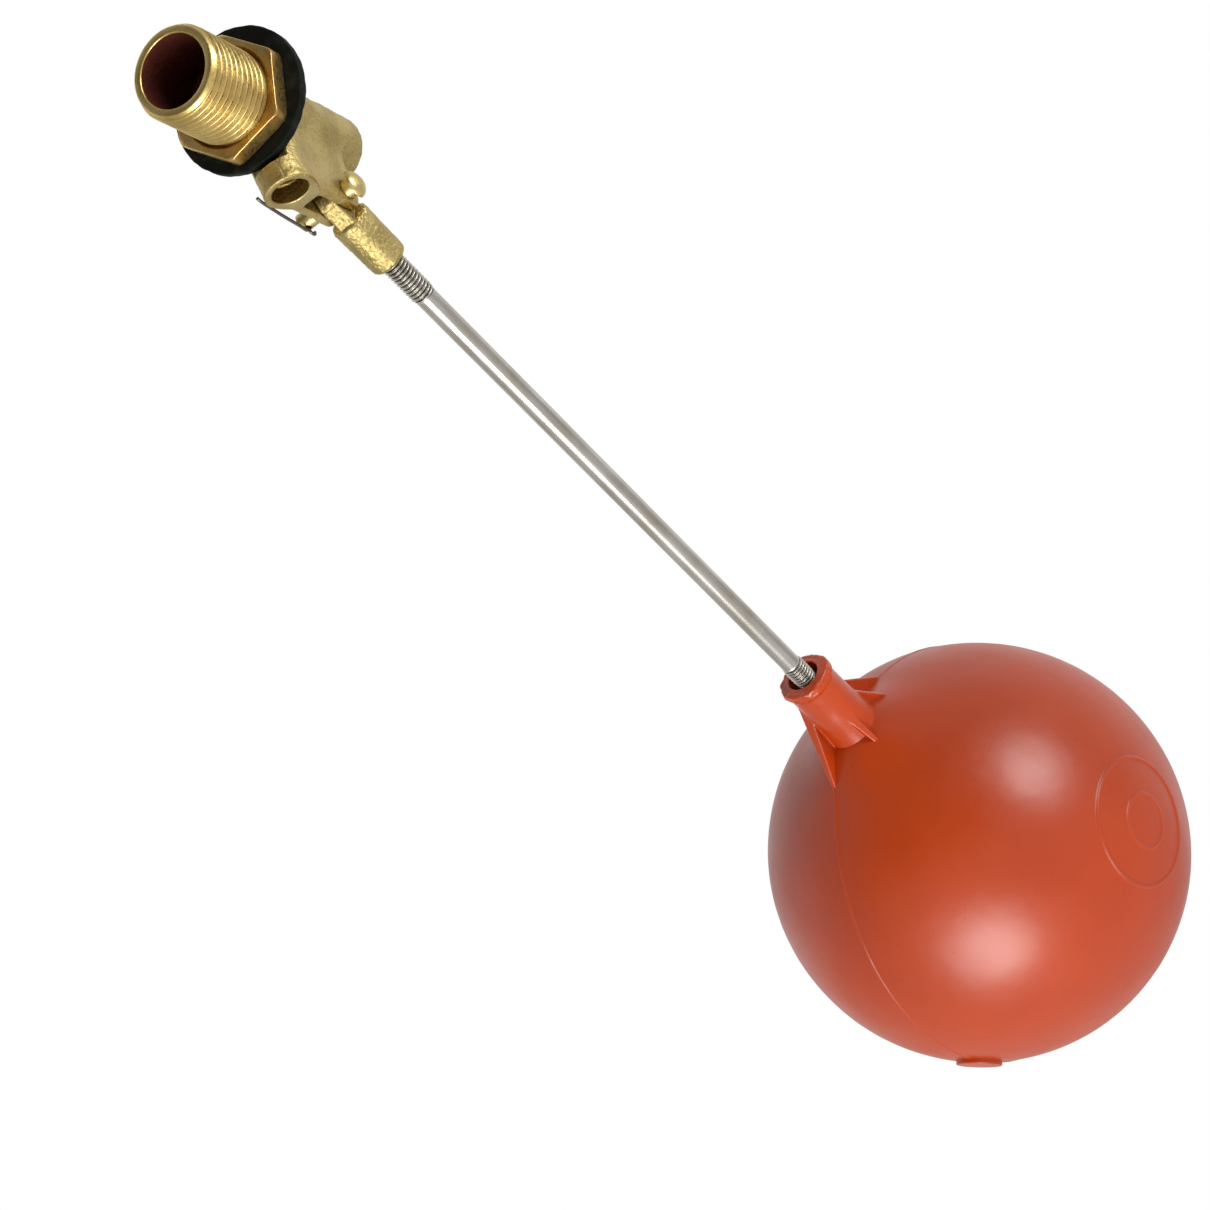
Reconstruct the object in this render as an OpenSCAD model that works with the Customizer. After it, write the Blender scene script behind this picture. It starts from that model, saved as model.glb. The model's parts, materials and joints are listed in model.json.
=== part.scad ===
// Side-inlet float valve with a sliding piston, a pivoted float arm and a ball float.
// Frame: the origin is the centre of the inlet end face, +X runs along the shank to the
// open end of the cylinder, +Z is up and the outlet faces -Z. The arm is at its lowest,
// with the valve fully open. All sizes are in millimetres.

/* [Inlet shank] */
// Outside diameter of the half-inch parallel pipe thread
shank_d = 20.955; // [20.80:0.005:21.10]
// Diameter of the water way through the shank
inlet_d = 16; // [14:0.5:16]
// Distance from the inlet end face to the clamping flange
flange_x = 25; // [25:0.5:28]
// Outside diameter of the clamping flange
flange_d = 26; // [24:0.5:28]
// Thickness of the clamping flange
flange_t = 3; // [2.5:0.25:3.5]

/* [Cylinder] */
// Outside diameter of the cylinder
cylinder_d = 16; // [15.6:0.2:17]
// Diameter of the cylinder bore
cylinder_bore_d = 12.6; // [12.4:0.1:12.8]
// Length of the body from inlet end face to cylinder end
body_l = 60; // [60:0.5:64]

/* [Outlet and fork] */
// Distance from the inlet end face to the outlet centre line
outlet_x = 28.55; // [28.5:0.05:29]
// Diameter of the outlet hole
outlet_d = 8.5; // [7:0.5:9]
// Outside diameter of the outlet boss
boss_d = 11.8; // [11:0.2:12.4]
// Height of the outlet mouth below the shank centre line
mouth_drop = 21.7; // [21:0.1:22]
// Distance between the inner faces of the fork ears
fork_gap = 4.5; // [4.4:0.1:4.8]
// Thickness of each fork ear
ear_t = 2.05; // [1.8:0.05:2.4]

/* [Arm pivot] */
// Distance from the inlet end face to the pivot
pivot_x = 46.4; // [46.2:0.1:46.6]
// Height of the pivot below the shank centre line
pivot_drop = 18.4; // [18.2:0.1:18.6]
// Diameter of the hinge pin
pin_d = 4.4; // [4:0.1:4.6]
// Diameter of the hinge pin's domed head
pin_head_d = 7.4; // [6.8:0.1:7.8]

/* [Float arm] */
// Angle of the arm below the horizontal with the valve fully open
arm_drop = 35.2; // [34:0.1:36]
// Lean of the lever's nose away from the seat with the valve fully open
nose_lean = 18; // [17:0.5:18]
// Distance from the pivot to the centre of the lever's nose
nose_l = 13.5; // [13.3:0.1:13.6]
// Thickness of the lever blade
blade_t = 4.1; // [4:0.05:4.2]
// Outside diameter of the rod socket
socket_d = 9.7; // [9.2:0.1:9.8]
// Distance from the pivot to the outer end of the rod socket
socket_end = 19.5; // [18:0.5:21]
// Diameter of the plain part of the rod
rod_d = 5.2; // [5:0.1:5.3]
// Outside diameter of the rod's threaded ends
rod_thread_d = 5.9; // [5.8:0.05:5.95]

/* [Ball float] */
// Outside diameter of the ball
ball_d = 114.3; // [110:0.1:116]
// Distance from the pivot to the centre of the ball
ball_s = 264; // [260:0.5:268]
// Wall thickness of the ball
ball_wall = 2; // [1.6:0.1:3]
// Outside diameter of the neck
neck_d = 14; // [13.6:0.2:15]
// Distance from the pivot to the mouth of the neck
neck_s = 180.4; // [178:0.2:184]

/* [Nut and washer] */
// Width of the backnut across its flats
nut_af = 25; // [24.5:0.1:25.5]
// Thickness of the backnut
nut_t = 4.3; // [4:0.1:4.4]
// Outside diameter of the tank washer
washer_d = 32.7; // [31:0.1:34]
// Thickness of the tank washer
washer_t = 2.3; // [2:0.1:2.4]

/* [Hidden] */

// Facets round a turned surface, and round one that is only rounded for looks
round_fn = 96;
soft_fn = 32;
// Clearance of a fit that turns or slides, and the gap between loose neighbours
running = 0.05;
gap = 0.1;

shank_r = shank_d / 2;
inlet_r = inlet_d / 2;
inlet_free_l = 17.5;
rim_chamfer = 0.9;
nut_x = flange_x - 3 * gap - washer_t - nut_t;
nut_turn = 20;
// The loose washer rests a little off the shank's axis
washer_play = 1.02;
washer_offset = [0, -0.3, 0.8];
relief_x = nut_x - 1;
relief_l = 0.6;
relief_depth = 0.35;

// Seat: pocket for the nozzle's flange, the partition behind it and the lip
pocket_r = 7;
partition_x = 20;
partition_r = 5;
chamber_x = 23;
nozzle_flange_t = 2.2;
nozzle_lip_x = 26.5;
nozzle_lip_r = 3.4;
nozzle_hole_r = 2.4;
nozzle_flare = 2.4;

cyl_r = cylinder_d / 2;
cyl_bore_r = cylinder_bore_d / 2;
end_round = 0.8;
mouth_z = -mouth_drop;
boss_r = boss_d / 2;
mouth_chamfer = 0.4;
// Depth of the outlet hole, and the narrower way from it up to the chamber
outlet_l = 4.5;
spout_r = 3.2;
spout_shift = 0.8;
// Facing cut that lets the tank washer seat past the boss
seat_relief_r = washer_d / 2 + 0.3;
web_top = 5;
slot_top = 5.2;
ear_out = fork_gap / 2 + ear_t;
ear_r = 4.5;
fork_slot_x = 36.2;
fork_slot_end = 54;

pivot_z = -pivot_drop;
pin_r = pin_d / 2;
pin_head_y = -6.3;
pin_head_h = 2.3;
pin_end_y = 8.8;
cotter_y = 7.6;
cotter_tilt = 9.4;
cotter_wire_r = 0.38;
cotter_hole_r = 0.86;
cotter_leg_l = 18;
cotter_eye_r = 0.9;
cotter_eye_z = pin_r + 0.7 + cotter_eye_r;
cotter_leg_z = -pin_r - 0.7;
cotter_tail_l = 2.6;

nose_r = 2.7;
nose_x = pivot_x + nose_l * sin(nose_lean);
blade_root_r = 3.3;
hub_r = 4;
socket_r = socket_d / 2;
socket_start = 5.3;
socket_floor = 7.5;
rod_r = rod_d / 2;
rod_thread_r = rod_thread_d / 2;
rod_start = socket_floor + 0.2;
rod_end = rod_start + 197;
lever_thread_l = 23.8;
float_thread_l = 30;

// Travel of the piston between open and closed, and its place with the valve open
stroke = 8.35;
cap_lip_t = 0.8;
cap_l = 5.6;
cap_hole_r = 4;
seal_t = 3;
seal_r = 4.95;
cap_x = nozzle_lip_x + stroke + running - cap_lip_t;
piston_r = cyl_bore_r - running;
piston_l = 24.6;
piston_end = cap_x + piston_l;
piston_slot_l = 2 * nose_r + 1.2;
piston_slot_w = blade_t + 1;
piston_slot_top = -1.6;
driver_slot_w = 1.2;
driver_slot_depth = 1.5;

ball_r = ball_d / 2;
neck_r = neck_d / 2;
neck_mouth_r = 4.4;
neck_mouth_l = 5.6;
insert_r = 5;
insert_l = 22;
plug_r = 6.2;
plug_proud = 0.9;
plug_tilt = 66;
plug_turn = 28;
// Ribs stand in the ball's seam plane, which passes beside the neck's axis
rib_t = 1.4;
rib_l = 15;
rib_turn = 28;
rib_offset = 4.5;
rib_reaches = [11, 23.5];
small_rib_l = 10;
small_rib_reach = 10.5;
small_rib_turns = [-21, 77, 136, 235];
neck_root = 5;
joint_gap = 0.02;

// Cylinders along X, Y and Z between two stations
module xcyl(x0, x1, r) translate([x0, 0, 0]) rotate([0, 90, 0])
    cylinder(h = x1 - x0, r = r, $fn = round_fn);
module ycyl(y0, y1, r) translate([0, y0, 0]) rotate([-90, 0, 0])
    cylinder(h = y1 - y0, r = r, $fn = round_fn);
module zcyl(z0, z1, r) translate([0, 0, z0]) cylinder(h = z1 - z0, r = r, $fn = round_fn);

// Turned solid about X from [station, radius] points
module xturn(profile) rotate([0, 90, 0]) rotate_extrude($fn = round_fn)
    polygon([for (p = profile) [p[1], p[0]]]);

// Turned solid about the child's own Z from [station, radius] points
module zturn(profile) rotate_extrude($fn = round_fn) polygon([for (p = profile) [p[1], p[0]]]);

// Flat plate in the XZ plane, centred on Y = 0, from a drawing whose Y is the part's Z
module xz_plate(t) translate([0, t / 2, 0]) rotate([90, 0, 0]) linear_extrude(t) children();

// Places a child at the pivot, or on the arm's axis with its Z running towards the ball
module at_pivot() translate([pivot_x, 0, pivot_z]) children();
module along_arm() at_pivot() rotate([0, 90 + arm_drop, 0]) children();

// Outline of a bar of length l that tapers between two round ends, up the drawing's Y
module tapered_bar(r1, r2, l) {
    lean = asin((r1 - r2) / l);
    circle(r = r1, $fn = round_fn);
    translate([0, l]) circle(r = r2, $fn = round_fn);
    polygon([
        [-r1 * cos(lean), r1 * sin(lean)], [r1 * cos(lean), r1 * sin(lean)],
        [r2 * cos(lean), l + r2 * sin(lean)], [-r2 * cos(lean), l + r2 * sin(lean)]
    ]);
}

// Shank, flange and cylinder, turned on one axis
module body_barrel() {
    xturn([
        [0, 0], [0, shank_r - rim_chamfer], [rim_chamfer, shank_r], [relief_x, shank_r],
        [relief_x, shank_r - relief_depth], [relief_x + relief_l, shank_r - relief_depth],
        [relief_x + relief_l, shank_r], [flange_x, shank_r], [flange_x, flange_d / 2],
        [flange_x + flange_t - 1, flange_d / 2], [flange_x + flange_t, flange_d / 2 - 1],
        [flange_x + flange_t, cyl_r + 1.5], [flange_x + flange_t + 1.5, cyl_r],
        [body_l - end_round, cyl_r], [body_l, cyl_r - end_round], [body_l, 0]
    ]);
}

// Outlet boss below the cylinder
module body_boss() translate([outlet_x, 0, 0]) zturn([
    [mouth_z, 0], [mouth_z, boss_r - mouth_chamfer], [mouth_z + mouth_chamfer, boss_r],
    [-1, boss_r], [-1, 0]
]);

// Web from the boss to the fork ears, rounded about the pivot at the far end
module body_web() xz_plate(2 * ear_out) intersection() {
    union() {
        translate([outlet_x, mouth_z]) square([pivot_x - outlet_x, mouth_drop - web_top]);
        translate([pivot_x, pivot_z]) circle(r = ear_r, $fn = round_fn);
        translate([pivot_x - 1, pivot_z]) square([ear_r + 1, pivot_drop - web_top]);
    }
    translate([outlet_x, mouth_z]) square([body_l, mouth_drop]);
}

module valve_body() {
    color("darkkhaki") difference() {
        union() {
            body_barrel();
            difference() {
                union() {
                    body_boss();
                    body_web();
                }
                xcyl(nut_x, flange_x, seat_relief_r);
            }
        }
        xcyl(-1, inlet_free_l, inlet_r);
        xcyl(inlet_free_l - 1, partition_x, pocket_r);
        xcyl(partition_x - 1, chamber_x + 1, partition_r);
        xcyl(chamber_x, body_l + 1, cyl_bore_r);
        translate([outlet_x, 0, 0]) zcyl(mouth_z - 1, mouth_z + outlet_l, outlet_d / 2);
        translate([outlet_x + spout_shift, 0, 0]) zcyl(mouth_z, 0, spout_r);
        translate([fork_slot_x, -fork_gap / 2, mouth_z - 1])
            cube([fork_slot_end - fork_slot_x, fork_gap, mouth_drop + 1 - slot_top]);
        at_pivot() ycyl(-ear_out - 1, ear_out + 1, pin_r + running);
    }
}

module seat_nozzle() {
    color("ivory") difference() {
        xturn([
            [partition_x - nozzle_flange_t, 0], [partition_x - nozzle_flange_t, pocket_r - running],
            [partition_x - running, pocket_r - running], [partition_x - running, partition_r - running],
            [chamber_x + 0.6, partition_r - running], [nozzle_lip_x - 0.6, nozzle_lip_r],
            [nozzle_lip_x, nozzle_lip_r - 0.4], [nozzle_lip_x, 0]
        ]);
        xcyl(partition_x - nozzle_flange_t - 1, nozzle_lip_x + 1, nozzle_hole_r);
        xturn([
            [partition_x - nozzle_flange_t - 1, 0],
            [partition_x - nozzle_flange_t - 1, nozzle_hole_r + nozzle_flare],
            [partition_x, nozzle_hole_r], [partition_x, 0]
        ]);
    }
}

module backnut() {
    color("peru") difference() {
        intersection() {
            translate([nut_x, 0, 0]) rotate([0, 90, 0]) rotate([0, 0, nut_turn])
                cylinder(h = nut_t, d = nut_af / cos(30), $fn = 6);
            xturn([
                [nut_x, 0], [nut_x, nut_af / 2 + 0.5], [nut_x + 1, nut_af / 2 + 2.2],
                [nut_x + nut_t - 1, nut_af / 2 + 2.2], [nut_x + nut_t, nut_af / 2 + 1.2], [nut_x + nut_t, 0]
            ]);
        }
        xcyl(nut_x - 1, nut_x + nut_t + 1, shank_r + running);
        xturn([
            [nut_x - 0.01, 0], [nut_x - 0.01, shank_r + 0.9], [nut_x + 0.9, shank_r], [nut_x + 0.9, 0]
        ]);
    }
}

module tank_washer() {
    color("dimgray") translate(washer_offset) difference() {
        xcyl(flange_x - gap - washer_t, flange_x - gap, washer_d / 2);
        xcyl(flange_x - gap - washer_t - 1, flange_x, shank_r + washer_play);
    }
}

module piston() {
    color("darkgoldenrod") difference() {
        xturn([
            [cap_x + cap_lip_t + seal_t, 0], [cap_x + cap_lip_t + seal_t, seal_r],
            [cap_x + cap_l, seal_r], [cap_x + cap_l, piston_r], [piston_end - 0.6, piston_r],
            [piston_end, piston_r - 0.6], [piston_end, 0]
        ]);
        translate([nose_x - piston_slot_l / 2, -piston_slot_w / 2, -cyl_r])
            cube([piston_slot_l, piston_slot_w, cyl_r + piston_slot_top]);
        translate([piston_end - driver_slot_depth, -cyl_r, -driver_slot_w / 2])
            cube([driver_slot_depth + 1, cylinder_d, driver_slot_w]);
    }
}

module seat_washer() {
    color("black") xcyl(cap_x + cap_lip_t, cap_x + cap_lip_t + seal_t, seal_r);
}

module piston_cap() {
    color("goldenrod") difference() {
        xturn([
            [cap_x, 0], [cap_x, piston_r - 0.5], [cap_x + 0.5, piston_r],
            [cap_x + cap_l, piston_r], [cap_x + cap_l, 0]
        ]);
        xcyl(cap_x + cap_lip_t, cap_x + cap_l + 1, seal_r);
        xcyl(cap_x - 1, cap_x + 2, cap_hole_r);
    }
}

module lever() {
    color("khaki") difference() {
        union() {
            at_pivot() xz_plate(blade_t) rotate(-nose_lean) tapered_bar(blade_root_r, nose_r, nose_l);
            at_pivot() xz_plate(blade_t) circle(r = hub_r, $fn = round_fn);
            at_pivot() xz_plate(blade_t) rotate(-90 - arm_drop)
                translate([-hub_r, 0]) square([2 * hub_r, socket_floor]);
            along_arm() zturn([
                [socket_start, 0], [socket_start, socket_r - 0.7], [socket_start + 0.7, socket_r],
                [socket_end - 1, socket_r], [socket_end, socket_r - 1], [socket_end, 0]
            ]);
        }
        at_pivot() ycyl(-blade_t, blade_t, pin_r + running + 0.02);
        along_arm() zcyl(socket_floor, socket_end + 1, rod_thread_r + running);
    }
}

module hinge_pin() {
    head_rise = pin_head_h - 0.5;
    dome_r = (pow(pin_head_d / 2, 2) + pow(head_rise, 2)) / (2 * head_rise);
    color("gold") at_pivot() difference() {
        union() {
            ycyl(pin_head_y - 0.5, pin_end_y, pin_r);
            ycyl(pin_head_y - 0.5, pin_head_y, pin_head_d / 2);
            intersection() {
                translate([0, pin_head_y - pin_head_h + dome_r, 0])
                    sphere(r = dome_r, $fn = round_fn);
                ycyl(pin_head_y - pin_head_h - 1, pin_head_y - 0.5, pin_head_d / 2);
            }
        }
        translate([0, cotter_y, 0]) rotate([0, cotter_tilt, 0]) zcyl(-pin_d, pin_d, cotter_hole_r);
    }
}

// One half of the split wire: down through the pin, then away along x from a square elbow
module cotter_wire(side, reach) {
    gap = 0.02;
    translate([side * (cotter_wire_r + gap), 0, 0])
        zcyl(cotter_leg_z, cotter_eye_z - cotter_eye_r + 0.1, cotter_wire_r - gap);
    translate([0, 0, cotter_leg_z])
        xcyl(min(side * gap, side * reach), max(side * gap, side * reach), cotter_wire_r);
}

// Split pin put in from above: the eye on top, the long leg bent one way and the short one the other
module cotter_pin() {
    color("silver") at_pivot() translate([0, cotter_y, 0]) rotate([0, cotter_tilt, 0]) {
        cotter_wire(-1, cotter_leg_l);
        cotter_wire(1, cotter_tail_l);
        translate([0, 0, cotter_eye_z]) rotate([90, 0, 0]) rotate_extrude($fn = round_fn)
            translate([cotter_eye_r, 0]) circle(r = cotter_wire_r, $fn = soft_fn);
    }
}

module float_rod() {
    color("lightgray") along_arm() zturn([
        [rod_start, 0], [rod_start, rod_thread_r - 0.5], [rod_start + 0.5, rod_thread_r],
        [rod_start + lever_thread_l, rod_thread_r], [rod_start + lever_thread_l, rod_r],
        [rod_end - float_thread_l, rod_r], [rod_end - float_thread_l, rod_thread_r],
        [rod_end - 0.5, rod_thread_r], [rod_end, rod_thread_r - 0.5], [rod_end, 0]
    ]);
}

// Threaded bush moulded into the neck, closed at its inner end
module float_insert() {
    start = neck_s + neck_mouth_l;
    color("gold") along_arm() difference() {
        zcyl(start, start + insert_l, insert_r);
        zcyl(start - 1, start + insert_l - 2, rod_thread_r + running);
    }
}

// Stiffening rib from the neck down to the ball: reach and offset are from the neck's axis
module neck_rib(turn, reach, length, offset) along_arm() rotate(turn)
    translate([0, offset + rib_t / 2, 0]) rotate([90, 0, 0]) linear_extrude(rib_t) polygon([
        [neck_r - 3, ball_s - ball_r - length], [neck_r - 1, ball_s - ball_r - length],
        [reach, ball_s - sqrt(pow(ball_r, 2) - pow(reach, 2)) + 0.5],
        [neck_r - 3, ball_s - sqrt(pow(ball_r, 2) - pow(reach, 2)) + 0.5]
    ]);

// Places a child on the ball's surface at the plug, with its Z pointing outwards
module at_plug() along_arm() translate([0, 0, ball_s]) rotate(plug_turn) rotate([0, plug_tilt, 0])
    children();

// Neck of the ball with its ribs, down to the ball's surface and through its wall
module float_neck() {
    ball_s0 = ball_s - ball_r;
    color("orangered") difference() {
        union() {
            along_arm() zcyl(neck_s, ball_s0 + neck_root, neck_r);
            difference() {
                union() {
                    neck_rib(rib_turn, rib_reaches[0], rib_l, rib_offset);
                    neck_rib(rib_turn + 180, rib_reaches[1], rib_l, -rib_offset);
                    for (turn = small_rib_turns) neck_rib(turn, small_rib_reach, small_rib_l, 0);
                }
                along_arm() translate([0, 0, ball_s]) sphere(r = ball_r + joint_gap, $fn = round_fn);
            }
        }
        along_arm() zcyl(neck_s - 1, neck_s + neck_mouth_l + 1, neck_mouth_r);
        along_arm() zcyl(neck_s + neck_mouth_l, ball_s0 + neck_root + 1, insert_r);
    }
}

module float_ball() {
    color("orangered") difference() {
        along_arm() translate([0, 0, ball_s]) sphere(r = ball_r, $fn = round_fn);
        along_arm() translate([0, 0, ball_s]) sphere(r = ball_r - ball_wall, $fn = round_fn);
        along_arm() zcyl(ball_s - ball_r - 1, ball_s, neck_r + joint_gap);
        at_plug() zcyl(ball_r - ball_wall - 1, ball_r + 1, plug_r - 1);
    }
}

module float_plug() {
    color("tomato") at_plug() difference() {
        union() {
            zcyl(ball_r - ball_wall, ball_r, plug_r - 1);
            zturn([
                [ball_r - 0.6, 0], [ball_r - 0.6, plug_r], [ball_r + plug_proud - 0.4, plug_r],
                [ball_r + plug_proud, plug_r - 0.4], [ball_r + plug_proud, 0]
            ]);
        }
        difference() {
            sphere(r = ball_r, $fn = round_fn);
            zcyl(0, ball_r + 1, plug_r - 1);
        }
    }
}

valve_body();
seat_nozzle();
backnut();
tank_washer();
piston();
seat_washer();
piston_cap();
lever();
hinge_pin();
cotter_pin();
float_rod();
float_insert();
float_neck();
float_ball();
float_plug();
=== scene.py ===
"""Looks of the side-inlet float valve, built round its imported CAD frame. Metres, CAD frame.

The cast, turned and moulded pieces are signed distance solids in millimetres, meshed by surface_net().
Stations and centres come from the CAD nodes, and the finer details are the named values below.
"""
import json
import math
from itertools import product

import bmesh
import bpy
import numpy as np
from mathutils import Matrix, Vector


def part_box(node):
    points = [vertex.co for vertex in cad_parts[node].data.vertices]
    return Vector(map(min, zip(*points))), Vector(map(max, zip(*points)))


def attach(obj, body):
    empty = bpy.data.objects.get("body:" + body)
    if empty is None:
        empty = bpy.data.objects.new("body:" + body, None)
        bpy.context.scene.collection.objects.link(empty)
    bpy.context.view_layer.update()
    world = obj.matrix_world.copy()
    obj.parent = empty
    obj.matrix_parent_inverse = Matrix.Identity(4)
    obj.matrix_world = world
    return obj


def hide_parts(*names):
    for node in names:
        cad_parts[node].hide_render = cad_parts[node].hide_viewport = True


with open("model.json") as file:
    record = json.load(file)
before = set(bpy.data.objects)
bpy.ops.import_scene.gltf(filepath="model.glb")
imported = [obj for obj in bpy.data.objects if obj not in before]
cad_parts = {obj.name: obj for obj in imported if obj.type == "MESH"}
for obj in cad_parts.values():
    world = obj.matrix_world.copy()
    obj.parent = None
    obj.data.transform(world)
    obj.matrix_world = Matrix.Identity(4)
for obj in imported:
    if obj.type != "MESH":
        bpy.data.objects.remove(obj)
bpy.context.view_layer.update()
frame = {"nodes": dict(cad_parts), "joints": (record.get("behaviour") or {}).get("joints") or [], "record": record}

MM = 0.001
SEED = 20

# ---------------------------------------------------------------- places taken from the frame (mm)


def box_mm(node):
    """Lowest and highest corner of a CAD node."""
    low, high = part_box(node)
    return np.array(low) / MM, np.array(high) / MM


def middle(node):
    """Centre of a CAD node's box."""
    low, high = box_mm(node)
    return (low + high) / 2


def mount(name):
    """A mount's row in the record."""
    return next(m for m in frame["record"]["mounts"] if m["name"] == name)


def joint_place(name):
    """Where a joint's axis passes."""
    found = next(j for j in frame["joints"] if j["name"] == name)
    return np.array(found["pos_m"]) / MM


BODY_LOW, BODY_HIGH = box_mm("valve_body")
NUT_LOW, NUT_HIGH = box_mm("backnut")
WASHER_LOW, WASHER_HIGH = box_mm("tank_washer")
PIN_LOW, PIN_HIGH = box_mm("hinge_pin")
SHANK_R = mount("inlet_thread")["dims"]["r_mm"]
INLET_R = mount("inlet_bore")["dims"]["r_mm"]
INLET_L = mount("inlet_bore")["dims"]["length_mm"]
OUTLET_R = mount("outlet")["dims"]["r_mm"]
OUTLET_L = mount("outlet")["dims"]["length_mm"]
OUTLET_X = mount("outlet")["pos_m"][0] / MM
MOUTH_Z = mount("outlet")["pos_m"][2] / MM
PIVOT = joint_place("lever_pivot")
BALL = middle("float_ball")
BALL_R = (box_mm("float_ball")[1] - box_mm("float_ball")[0])[1] / 2

# Arm frame: u across the arm and downwards, v along the hinge pin, w along the arm from the pivot
ARM_W = (BALL - PIVOT) / np.linalg.norm(BALL - PIVOT)
ARM_V = np.array([0.0, 1.0, 0.0])
ARM_U = np.cross(ARM_V, ARM_W)
ARM_AXES = np.array([ARM_U, ARM_V, ARM_W])
BALL_W = float(np.linalg.norm(BALL - PIVOT))
ARM_TURN = math.atan2(ARM_W[0], ARM_W[2])


def arm_span(node):
    """First and last station of a CAD node along the arm."""
    points = np.array([v.co for v in frame["nodes"][node].data.vertices]) / MM
    stations = (points - PIVOT) @ ARM_W
    return float(stations.min()), float(stations.max())


SOCKET_END = arm_span("lever")[1]
ROD_START, ROD_END = arm_span("float_rod")
NECK_W = arm_span("float_neck")[0]

# ---------------------------------------------------------------- sizes of the details (mm)

SHANK_PITCH = 1.814
SHANK_DEPTH = 1.12
# How sharp the shank's ridges are: 1 would make them pointed
RIDGE_SHARP = 0.93
RIM_CHAMFER = 0.9
FLANGE_X = WASHER_HIGH[0] + 0.1
FLANGE_T = 3.0
FLANGE_R = 13.0
CYL_R = 8.0
CYL_BORE_R = 6.3
POCKET_R = 7.0
PARTITION_X = 20.0
PARTITION_R = 5.0
CHAMBER_X = 23.0
BOSS_R = 5.9
SPOUT_R = 3.2
SPOUT_SHIFT = 0.8
FORK_SLOT = 2.25
FORK_SLOT_X = 36.2
FORK_SLOT_END = 54.0
FORK_SLOT_Z = -5.2
EAR_OUT = 4.3
EAR_R = 4.5
EAR_DRAFT = 0.06
SEAT_RELIEF_R = 16.65
PIN_R = 2.2
PIN_HEAD_R = 3.7
PIN_HEAD_Y = -6.3
COTTER_Y = 7.6
COTTER_TILT = math.radians(9.4)
COTTER_WIRE_R = 0.38
COTTER_LEG = 17.9
COTTER_BEND = 0.7
COTTER_CLEAR = 0.7
COTTER_LIFT = 0.35
COTTER_SAG = 0.25
COTTER_HOOK = 0.85
COTTER_EYE_R = 0.9
COTTER_HOLE_R = 0.86
NUT_FLAT = 12.5
NUT_TURN = math.radians(20)
WASHER_R = 16.35
WASHER_HOLE_R = 11.5
BLADE_HALF = 2.05
HUB_R = 4.0
NOSE_ROOT_R = 3.3
NOSE_R = 2.7
NOSE_L = 13.5
NOSE_LEAN = math.radians(18)
SOCKET_R = 4.85
SOCKET_START = 5.3
SOCKET_FLOOR = 7.5
ROD_R = 2.6
ROD_THREAD_R = 2.95
ROD_PITCH = 1.0
ROD_DEPTH = 0.58
LEVER_THREAD = 23.8
FLOAT_THREAD = 30.0
NECK_R = 7.0
NECK_HOLE_R = 4.4
NECK_HOLE_L = 5.6
RIB_HALF = 0.5
SHOULDER_H = 6.2
SHOULDER_W = 13.0
PLUG_TURN = math.radians(28)
PLUG_TILT = math.radians(66)
PLUG_R = 6.2
EMBLEM_TURN = math.radians(-61)
EMBLEM_TILT = math.radians(96)
EMBLEM_R = 17.0
# The emblem's inner ring, as a part of the outer one
INNER_RING = 0.42
SEAM_TURN = math.radians(28)
SEAM_TILT = math.radians(85.5)

# ---------------------------------------------------------------- distance solids


def smooth_min(a, b, k):
    """Joins two solids with a fillet about k wide."""
    h = np.maximum(k - np.abs(a - b), 0.0) / k
    return np.minimum(a, b) - 0.25 * k * h * h


def smooth_max(a, b, k):
    """What two solids share, with an edge rounded over about k."""
    return -smooth_min(-a, -b, k)


def between(t, low, high):
    """A slab from low to high."""
    return np.maximum(low - t, t - high)


def drum(radial, t, r, low, high, edge):
    """A capped cylinder from its radial and axial coordinates, with edges rounded by about edge."""
    return smooth_max(radial - r, between(t, low, high), edge)


def cut(solid, tool, edge=0.12):
    """Takes the tool out of the solid."""
    return smooth_max(solid, -tool, edge)


def thread_wave(t, angle, pitch):
    """1 on the crest and -1 in the root of a right-handed thread with rounded ridges."""
    phase = np.cos(2 * math.pi * t / pitch - angle)
    return np.arcsin(RIDGE_SHARP * phase) / math.asin(RIDGE_SHARP)


def thread(radial, angle, t, crest_r, depth, pitch):
    """A threaded bar, as a distance solid."""
    ridge = thread_wave(t, angle, pitch)
    return 0.5 * (radial - crest_r + 0.5 * depth * (1 - ridge))


def hashed(ix, iy, iz, seed):
    """A repeatable random number from 0 to 1 for each whole-number place."""
    n = ix * 374761393 + iy * 668265263 + iz * 2147483647 + seed * 1274126177
    n = (n ^ (n >> 13)) * 1274126177
    n = n ^ (n >> 16)
    return (n & 0xFFFFFF) / 0xFFFFFF


def grain(points, size, seed):
    """Smooth random lumps about size across, from -1 to 1, at each point."""
    q = points / size
    cell = np.floor(q).astype(np.int64)
    t = q - cell
    t = t * t * (3 - 2 * t)
    total = np.zeros(len(points))
    for corner in product((0, 1), repeat=3):
        weight = np.prod(np.where(corner, t, 1 - t), axis=1)
        total += weight * hashed(*(cell + corner).T, seed)
    return 2 * total - 1


CORNERS = np.array(list(product((0, 1), repeat=3)))
EDGES = [(a, b) for a in range(8) for b in range(a + 1, 8) if np.abs(CORNERS[a] - CORNERS[b]).sum() == 1]


def net_points(field, cells):
    """Surface points, one per cell, each the mean of where the surface crosses the cell's edges."""
    values = np.stack([field[tuple((cells + c).T)] for c in CORNERS], axis=1)
    total = np.zeros((len(cells), 3))
    hits = np.zeros(len(cells))
    for a, b in EDGES:
        crossed = (values[:, a] < 0) != (values[:, b] < 0)
        t = values[crossed, a] / (values[crossed, a] - values[crossed, b])
        total[crossed] += CORNERS[a] + t[:, None] * (CORNERS[b] - CORNERS[a])
        hits[crossed] += 1
    return cells + total / hits[:, None]


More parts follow.
